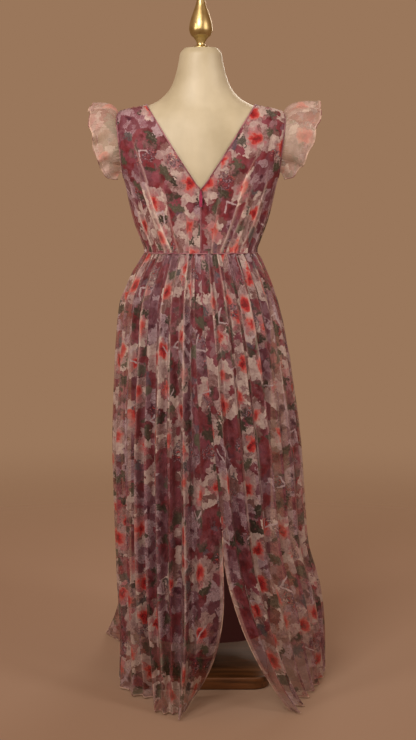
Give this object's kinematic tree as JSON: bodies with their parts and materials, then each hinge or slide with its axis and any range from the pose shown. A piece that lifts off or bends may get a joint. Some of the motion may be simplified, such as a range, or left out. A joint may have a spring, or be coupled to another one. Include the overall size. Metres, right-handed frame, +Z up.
{
  "type": "evening gown on dress form",
  "caption": "Floor-length V-back evening gown of gathered printed mesh over a dark lining, with flutter sleeves and a back slit, on a limbless dress form with a flat base.",
  "frame": {"origin": "on the floor, at the middle of the stand base's underside", "axes": "+Z up along the pole; the gown's back, the pictured side, faces -Y; +X is to the right in that view"},
  "size_m": [0.5451, 0.72, 1.5695],
  "materials": {
    "printed_mesh": "soft sheer polyester mesh, wine ground with a rose and leaf print",
    "sheer_mesh": "one layer of the printed mesh, see-through",
    "lining": "smooth dark burgundy crepe",
    "zip": "burgundy tape and lacquered slider",
    "pull": "pink lacquered pull",
    "form_cover": "stretched cream satin-backed cotton",
    "finial": "satin lacquered brass",
    "pole": "satin steel tube",
    "base": "stained and waxed wood"
  },
  "bodies": {
    "gown": {"bodice_back_left": "printed_mesh", "bodice_back_right": "printed_mesh", "bodice_front": "printed_mesh", "sleeve_left": "sheer_mesh", "sleeve_right": "sheer_mesh", "skirt_back_left": "printed_mesh", "skirt_back_right": "printed_mesh", "skirt_front": "printed_mesh", "lining_back": "lining", "lining_front": "lining", "zip_tape": "zip", "zip_slider": "zip", "form_torso": "form_cover", "finial": "finial", "stand_pole": "pole", "stand_base": "base"},
    "pull": {"zip_pull_tab": "pull"}
  },
  "joints": [
    {"name": "pull_flip", "type": "hinge", "parent": "gown", "child": "pull", "pos_m": [0, -0.11, 1.117], "axis": [-1, 0, 0], "range_deg": [0, 160]}
  ]
}
